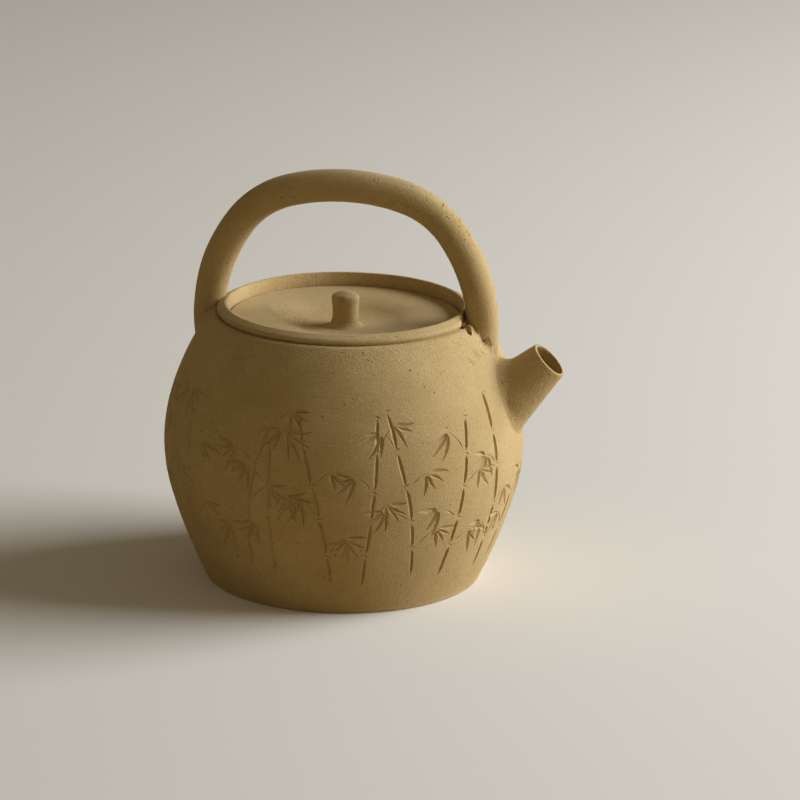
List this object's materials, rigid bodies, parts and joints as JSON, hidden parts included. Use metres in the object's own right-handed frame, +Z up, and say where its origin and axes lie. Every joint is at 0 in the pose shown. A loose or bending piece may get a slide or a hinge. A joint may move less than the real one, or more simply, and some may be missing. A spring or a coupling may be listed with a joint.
{
  "type": "clay teapot",
  "caption": "Unglazed buff clay teapot with a round belly, short straight spout, sunken dished lid with a post knob, and a round coil handle arching over the lid.",
  "frame": {"origin": "centre of the flat base, on the surface that the pot stands on", "axes": "+Z up along the axis of the pot, +X towards the spout, in the plane of the handle"},
  "size_m": [0.1318, 0.1182, 0.1359],
  "materials": {
    "buff_clay": "unglazed sandy buff stoneware, matt, with fine pits",
    "luting_clay": "unglazed buff slip clay, smeared and slightly smoother",
    "lid_clay": "unglazed buff stoneware, matt, smoothed in a swirl"
  },
  "bodies": {
    "pot": {"base_disc": "buff_clay", "base_seam_lute": "luting_clay", "body_wall": "buff_clay", "shoulder_disc": "buff_clay", "mouth_collar": "buff_clay", "lid_seat_ring": "buff_clay", "spout": "buff_clay", "spout_lute": "luting_clay", "spout_strainer": "buff_clay", "handle_bow": "buff_clay", "front_handle_lute": "luting_clay", "rear_handle_lute": "luting_clay"},
    "lid": {"lid_disc": "lid_clay", "lid_flange": "lid_clay", "lid_knob": "lid_clay", "knob_lute": "luting_clay"}
  },
  "joints": [
    {"name": "lid_lift", "type": "slide", "parent": "pot", "child": "lid", "axis": [0, 0, 1], "range_m": [0, 0.0115]}
  ]
}
